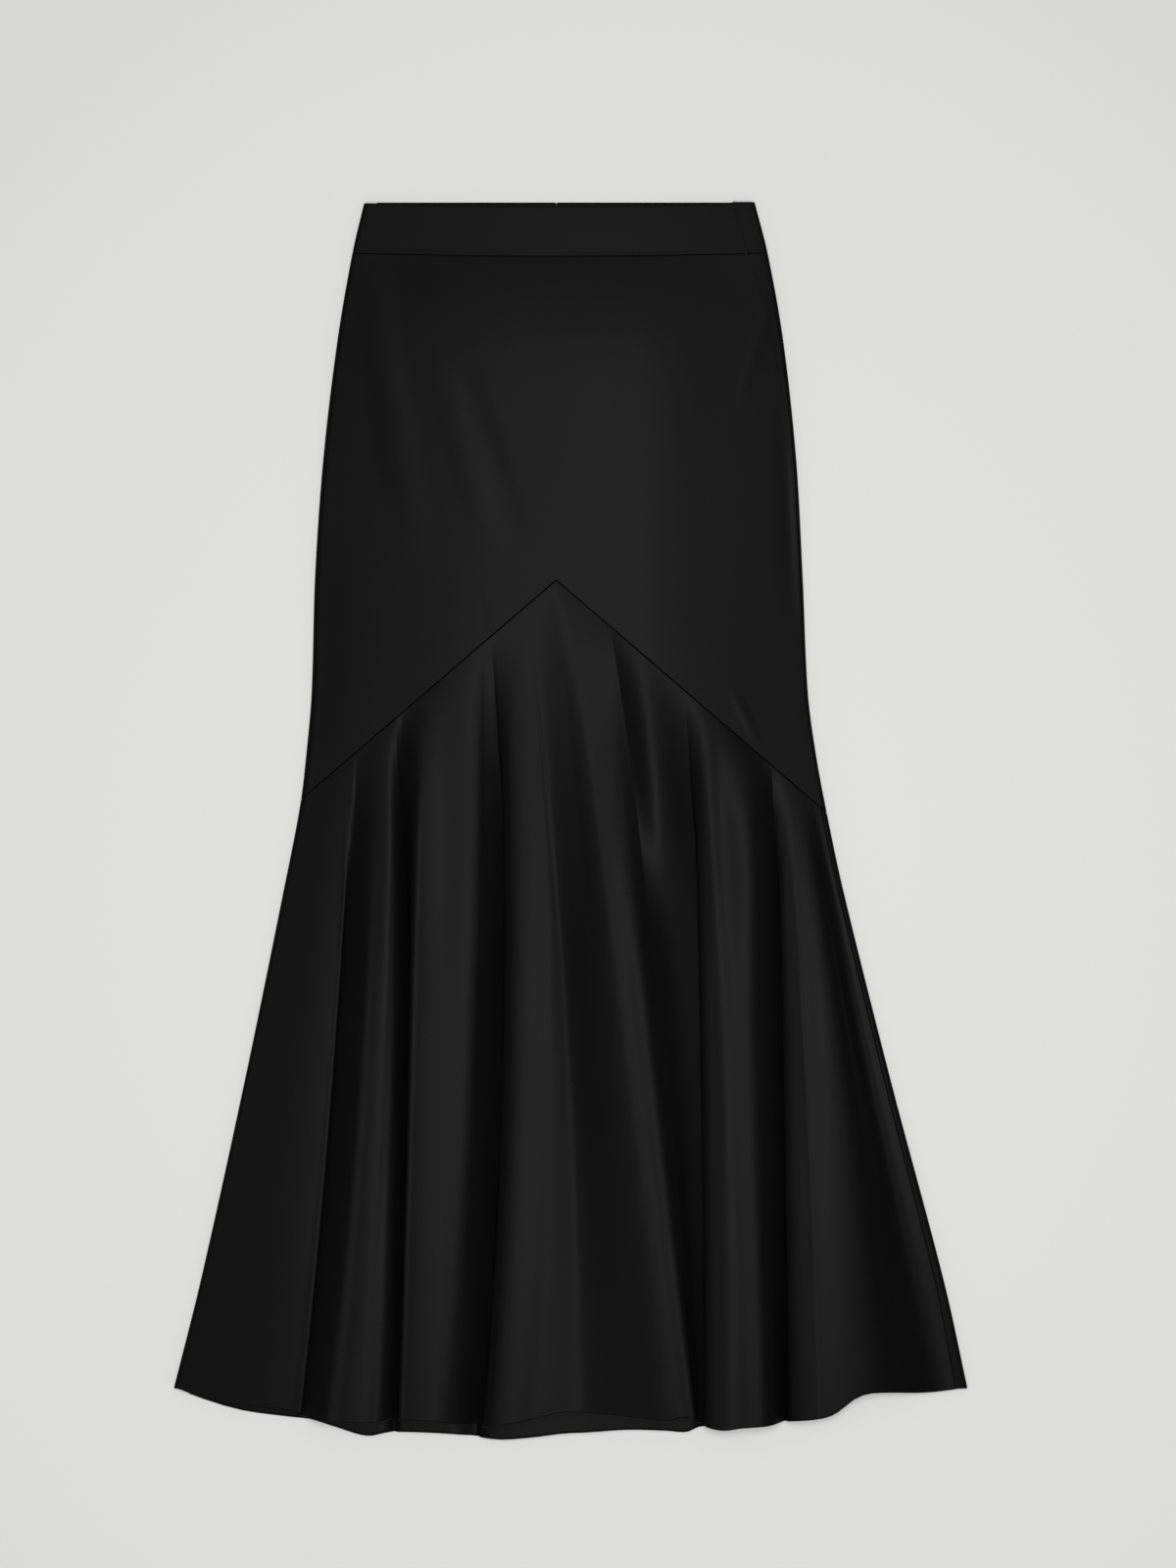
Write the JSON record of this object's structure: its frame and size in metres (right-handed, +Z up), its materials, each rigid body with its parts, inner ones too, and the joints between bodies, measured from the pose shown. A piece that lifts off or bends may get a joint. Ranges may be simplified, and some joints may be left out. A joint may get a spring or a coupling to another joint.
{
  "type": "mermaid skirt",
  "caption": "Long fitted skirt laid out flat, with a shaped waistband, a pointed seam below the hips and a flared flounce that falls in deep soft folds.",
  "frame": {"origin": "on the surface that the skirt lies on, in the middle of its footprint", "axes": "+X across the skirt towards the wearer's left, +Y from the hem towards the waist, +Z up from the surface, out of the skirt's front"},
  "size_m": [0.6715, 1.0457, 0.0302],
  "materials": {
    "crepe": "smooth black crepe with a soft, dull sheen",
    "zip": "black nylon coil"
  },
  "bodies": {
    "root": {"waistband_front": "crepe", "waistband_back_left": "crepe", "waistband_back_right": "crepe", "skirt_front": "crepe", "skirt_back_left": "crepe", "skirt_back_right": "crepe", "flounce_front": "crepe", "flounce_back": "crepe", "back_zip": "zip"}
  },
  "joints": []
}
